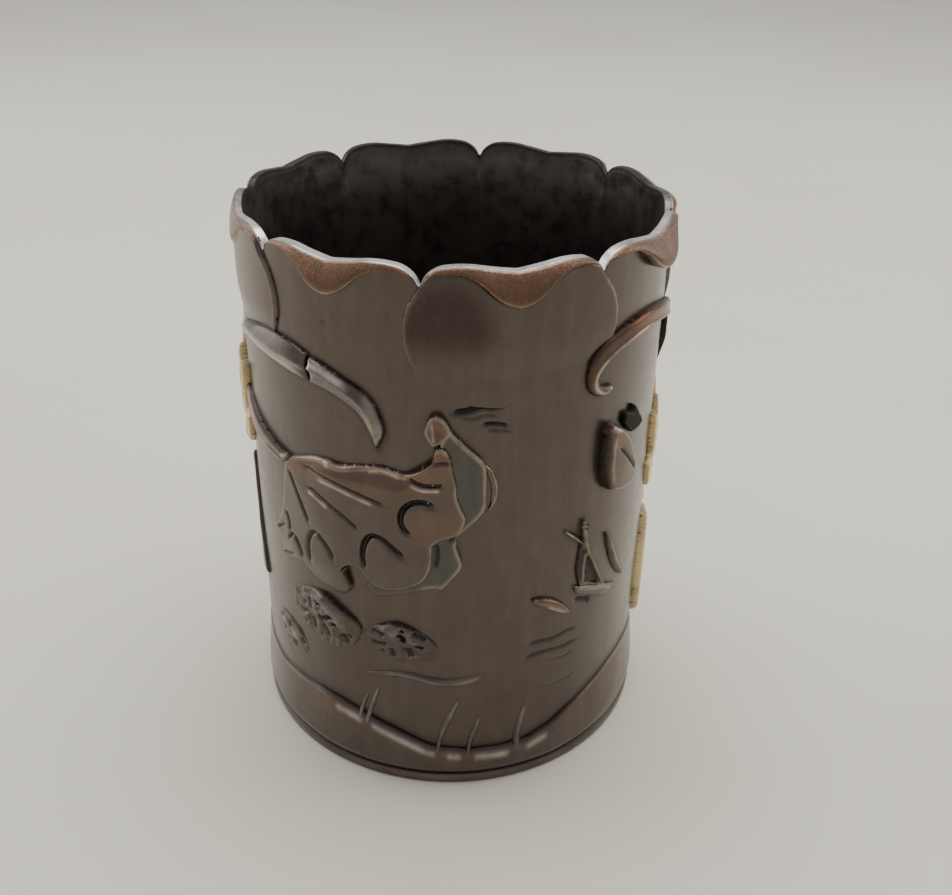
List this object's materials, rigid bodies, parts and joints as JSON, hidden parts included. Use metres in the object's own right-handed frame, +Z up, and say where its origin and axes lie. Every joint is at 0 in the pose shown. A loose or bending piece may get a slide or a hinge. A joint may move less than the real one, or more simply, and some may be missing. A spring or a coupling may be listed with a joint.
{
  "type": "brush holder pot",
  "caption": "Cylindrical metal brush pot with a lobed lotus rim and pond reliefs; holds brushes or pens upright on a desk.",
  "frame": {"origin": "centre of the foot at table level", "axes": "+Z up along the pot's axis, -Y towards the front with the large folded leaf"},
  "size_m": [0.0888, 0.089, 0.114],
  "materials": {
    "wall": "dark brown patinated bronze, semi-gloss",
    "base_plate": "dull dark bronze",
    "foot_ring": "dark bronze, worn edge",
    "bank": "dark bronze, top edge rubbed bright",
    "petal": "reddish brown patina",
    "lip": "rubbed copper over brown patina",
    "leaf": "brown patina, veins dark, high edges rubbed",
    "reed": "brown bronze rubbed light on the ridges",
    "bud": "brown bronze, lightly rubbed",
    "tuft": "brown bronze, recesses dark",
    "gilt": "worn gilding over bronze"
  },
  "bodies": {
    "root": {"bank": "bank", "base_plate": "base_plate", "bud": "bud", "bud_sepal": "bud", "cross_reed_1": "reed", "cross_reed_2": "reed", "cross_reed_3": "reed", "cross_reed_4": "reed", "flower_left": "gilt", "flower_left_stem": "gilt", "flower_right": "gilt", "flower_right_leaf": "gilt", "foot_ring": "foot_ring", "leaf_back": "leaf", "leaf_curl": "leaf", "leaf_front": "leaf", "leaf_left": "leaf", "leaf_rear": "leaf", "leaf_rear_stem": "leaf", "leaf_rim": "leaf", "leaf_stem": "leaf", "ledge": "tuft", "lip_1": "lip", "lip_2": "lip", "lip_3": "lip", "lip_4": "lip", "lip_5": "lip", "lip_6": "lip", "lip_7": "lip", "lip_8": "lip", "petal_1": "petal", "petal_2": "petal", "petal_3": "petal", "petal_4": "petal", "reed_left_stalk": "reed", "reed_left_tip": "reed", "reed_rear": "reed", "reed_rear_low": "reed", "reed_right": "reed", "reed_right_tip": "reed", "rosette_1": "tuft", "rosette_2": "tuft", "rosette_3": "tuft", "rosette_rear": "tuft", "seed_pod": "bud", "seed_pod_stem": "bud", "shoot_1": "reed", "shoot_2": "reed", "shoot_3": "reed", "shoot_4": "reed", "shoot_5": "reed", "shoot_6": "reed", "shoot_7": "reed", "small_leaf": "leaf", "wall": "wall"}
  },
  "joints": []
}
